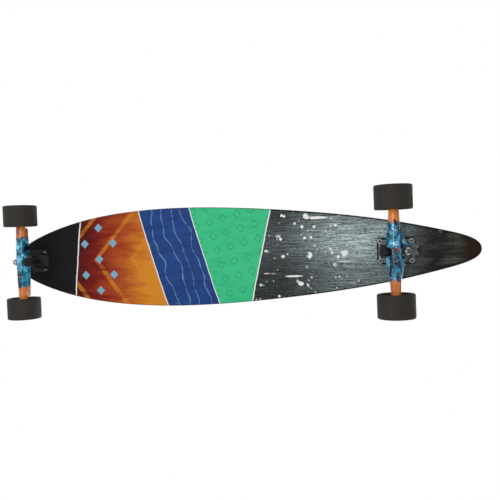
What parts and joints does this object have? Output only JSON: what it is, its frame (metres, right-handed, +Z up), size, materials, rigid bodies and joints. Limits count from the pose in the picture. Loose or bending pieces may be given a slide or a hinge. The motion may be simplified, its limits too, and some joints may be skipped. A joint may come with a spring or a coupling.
{
  "type": "longboard skateboard",
  "caption": "Pintail longboard: concave plywood deck with grip tape, reverse-kingpin trucks that steer by leaning, and wide urethane wheels on ball bearings.",
  "frame": {"origin": "on the ground under the middle of the deck's length and width, with the board on its wheels", "axes": "+X along the board to the nose, +Y to the board's left, +Z up"},
  "size_m": [1.078, 0.2654, 0.1147],
  "materials": {
    "deck": "painted black with a coloured design over brushed grain, satin clear coat",
    "grip": "gritty black",
    "riser": "matte",
    "baseplate": "cast, black satin paint",
    "hanger": "cast, glossy marbled paint in blue, teal, white and orange",
    "steel": "zinc plated",
    "bushing": "urethane",
    "tire": "matte urethane",
    "hub": "moulded"
  },
  "bodies": {
    "board": {"deck": "deck", "grip_tape": "grip", "front_riser_pad": "riser", "front_baseplate": "baseplate", "front_mounting_bolts": "steel", "front_mounting_nuts": "steel", "front_kingpin": "steel", "front_kingpin_nut": "steel", "front_boardside_bushing": "bushing", "front_boardside_washer": "steel", "front_roadside_bushing": "bushing", "front_roadside_washer": "steel", "front_pivot_cup": "bushing", "rear_riser_pad": "riser", "rear_baseplate": "baseplate", "rear_mounting_bolts": "steel", "rear_mounting_nuts": "steel", "rear_kingpin": "steel", "rear_kingpin_nut": "steel", "rear_boardside_bushing": "bushing", "rear_boardside_washer": "steel", "rear_roadside_bushing": "bushing", "rear_roadside_washer": "steel", "rear_pivot_cup": "bushing"},
    "front_truck": {"front_hanger": "hanger", "front_axle": "steel", "front_speed_washers": "steel", "front_axle_nuts": "steel", "front_left_inner_races": "steel", "front_left_spacer": "steel", "front_right_inner_races": "steel", "front_right_spacer": "steel"},
    "front_left_wheel": {"front_left_tire": "tire", "front_left_hub": "hub", "front_left_outer_races": "steel"},
    "front_right_wheel": {"front_right_tire": "tire", "front_right_hub": "hub", "front_right_outer_races": "steel"},
    "rear_truck": {"rear_hanger": "hanger", "rear_axle": "steel", "rear_speed_washers": "steel", "rear_axle_nuts": "steel", "rear_left_inner_races": "steel", "rear_left_spacer": "steel", "rear_right_inner_races": "steel", "rear_right_spacer": "steel"},
    "rear_left_wheel": {"rear_left_tire": "tire", "rear_left_hub": "hub", "rear_left_outer_races": "steel"},
    "rear_right_wheel": {"rear_right_tire": "tire", "rear_right_hub": "hub", "rear_right_outer_races": "steel"}
  },
  "joints": [
    {"name": "front_steer", "type": "hinge", "parent": "board", "child": "front_truck", "pos_m": [0.49427, 0, 0.062], "axis": [0.7071, 0, 0.7071], "range_deg": [-15, 15], "stiffness_Nm_per_rad": 60, "deforming": ["front_boardside_bushing", "front_roadside_bushing"]},
    {"name": "front_left_spin", "type": "hinge", "parent": "front_truck", "child": "front_left_wheel", "pos_m": [0.483, 0.10815, 0.038], "axis": [0, 1, 0], "continuous": true},
    {"name": "front_right_spin", "type": "hinge", "parent": "front_truck", "child": "front_right_wheel", "pos_m": [0.483, -0.10815, 0.038], "axis": [0, 1, 0], "continuous": true},
    {"name": "rear_steer", "type": "hinge", "parent": "board", "child": "rear_truck", "pos_m": [-0.38227, 0, 0.062], "axis": [-0.7071, 0, 0.7071], "range_deg": [-15, 15], "stiffness_Nm_per_rad": 60, "deforming": ["rear_boardside_bushing", "rear_roadside_bushing"]},
    {"name": "rear_left_spin", "type": "hinge", "parent": "rear_truck", "child": "rear_left_wheel", "pos_m": [-0.371, 0.10815, 0.038], "axis": [0, 1, 0], "continuous": true},
    {"name": "rear_right_spin", "type": "hinge", "parent": "rear_truck", "child": "rear_right_wheel", "pos_m": [-0.371, -0.10815, 0.038], "axis": [0, 1, 0], "continuous": true}
  ]
}
